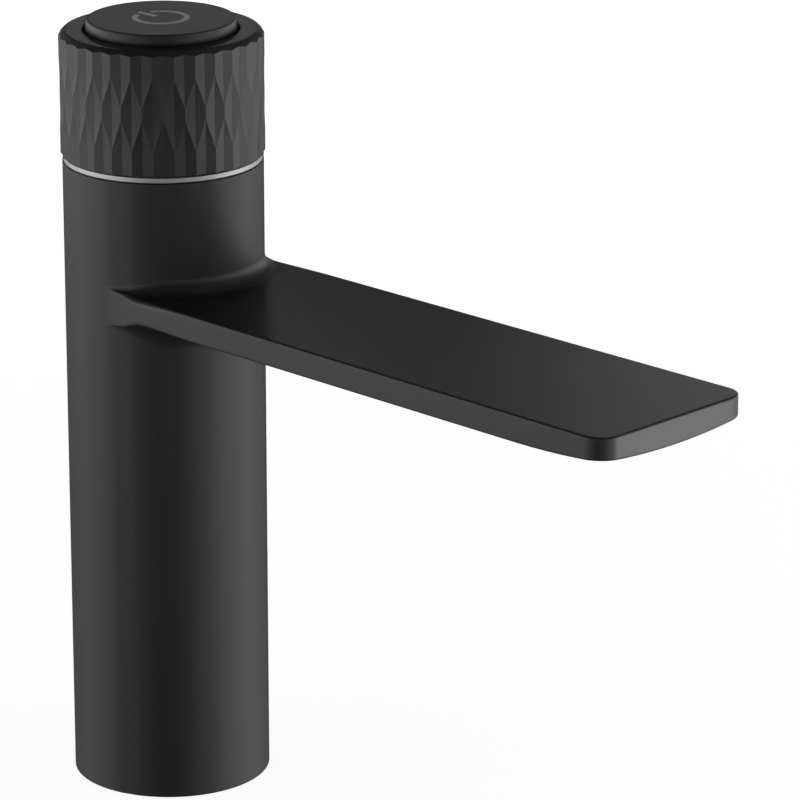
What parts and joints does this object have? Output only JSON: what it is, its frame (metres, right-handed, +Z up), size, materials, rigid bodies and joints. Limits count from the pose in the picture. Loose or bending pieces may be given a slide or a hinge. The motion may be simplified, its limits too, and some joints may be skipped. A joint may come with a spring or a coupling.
{
  "type": "bathroom mixer faucet",
  "caption": "Deck-mounted basin mixer: round column, flat slim spout, faceted temperature knob and a push on/off button on top.",
  "frame": {"origin": "centre of the column's foot, on the deck", "axes": "+Z up along the column, -Y along the spout, X across it"},
  "size_m": [0.0468, 0.1801, 0.181],
  "materials": {
    "matt_black_coat": "matt black powder coat on brass",
    "satin_black_knob": "satin black coat on brass",
    "satin_black_button": "satin black coat with a light grey printed mark",
    "bright_trim": "bright",
    "steel": "plain",
    "brass": "turned",
    "white_plastic": "moulded",
    "grey_plastic": "moulded",
    "ceramic": "lapped ceramic",
    "rubber": "moulded"
  },
  "bodies": {
    "faucet_body": {"body_casting": "matt_black_coat", "trim_ring": "bright_trim", "slide_ring": "white_plastic", "button_spring": "steel", "temperature_stop_ring": "grey_plastic", "retaining_nut": "brass", "cartridge_housing": "grey_plastic", "fixed_ceramic_disc": "ceramic", "cartridge_base": "white_plastic", "port_seal_hot": "rubber", "port_seal_cold": "rubber", "port_seal_mixed": "rubber", "hot_riser": "steel", "cold_riser": "steel", "hot_riser_seal_lower": "rubber", "hot_riser_seal_upper": "rubber", "cold_riser_seal_lower": "rubber", "cold_riser_seal_upper": "rubber", "inlet_manifold": "brass", "manifold_clip": "steel", "stud_bush": "steel", "base_gasket": "rubber", "aerator_housing": "grey_plastic", "aerator_insert": "white_plastic", "aerator_screen": "steel", "aerator_gasket": "rubber"},
    "knob": {"temperature_knob": "satin_black_knob", "knob_carrier": "grey_plastic", "knob_screw_1": "steel", "knob_screw_2": "steel", "knob_screw_3": "steel", "spindle_clip": "steel", "mixing_spindle": "brass", "spindle_o_ring": "rubber", "rotating_ceramic_disc": "ceramic"},
    "button": {"button_cap": "satin_black_button", "button_plunger": "white_plastic", "valve_stem": "steel", "valve_seal": "rubber"}
  },
  "joints": [
    {"name": "temperature_turn", "type": "hinge", "parent": "faucet_body", "child": "knob", "pos_m": [0, 0, 0.1641], "axis": [0, 0, 1], "range_deg": [-50, 50]},
    {"name": "button_press", "type": "slide", "parent": "faucet_body", "child": "button", "axis": [0, 0, -1], "range_m": [0, 0.0022], "stiffness_N_per_m": 900, "springref_m": -0.002, "deforming": ["button_spring"]}
  ]
}
